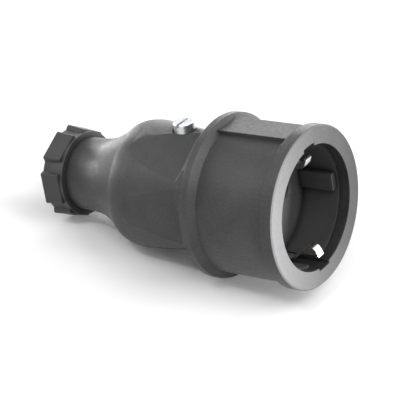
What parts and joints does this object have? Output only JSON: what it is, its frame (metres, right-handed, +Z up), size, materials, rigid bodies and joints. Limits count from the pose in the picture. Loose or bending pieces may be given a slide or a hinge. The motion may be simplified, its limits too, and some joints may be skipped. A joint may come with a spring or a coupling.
{
  "type": "earthed rubber coupling socket",
  "caption": "Rubber mains coupling socket with a flanged round barrel, recessed pin sleeves, side earth clips, a slotted housing screw and a lobed gland nut.",
  "frame": {"origin": "centre of the socket's mouth, in the plane of the front face", "axes": "+X towards the plug, +Y towards the live side, +Z up; the part lies on its flange and gland nut, so the mating axis rises 9.66 degrees from +X towards +Z"},
  "size_m": [0.106, 0.0546, 0.0586],
  "materials": {
    "rubber_black": "matt, lightly textured",
    "insulator_grey": "satin thermoset",
    "nut_plastic": "fine texture",
    "seal_rubber": "smooth",
    "contact_brass": "drawn",
    "earth_metal": "nickel plated",
    "spring_steel": "tempered",
    "zinc_steel": "zinc plated"
  },
  "bodies": {
    "root": {"housing": "rubber_black", "contact_carrier": "insulator_grey", "terminal_carrier": "insulator_grey", "live_contact": "contact_brass", "neutral_contact": "contact_brass", "live_contact_spring": "spring_steel", "neutral_contact_spring": "spring_steel", "live_terminal": "contact_brass", "neutral_terminal": "contact_brass", "earth_terminal": "contact_brass", "live_terminal_screw": "zinc_steel", "neutral_terminal_screw": "zinc_steel", "earth_terminal_screw": "zinc_steel", "earth_strap": "earth_metal", "housing_screw": "zinc_steel", "housing_screw_nut": "zinc_steel", "housing_screw_bush": "zinc_steel", "carrier_screws": "zinc_steel", "gland_nut": "nut_plastic", "thrust_washer": "nut_plastic", "cable_seal": "seal_rubber"}
  },
  "joints": []
}
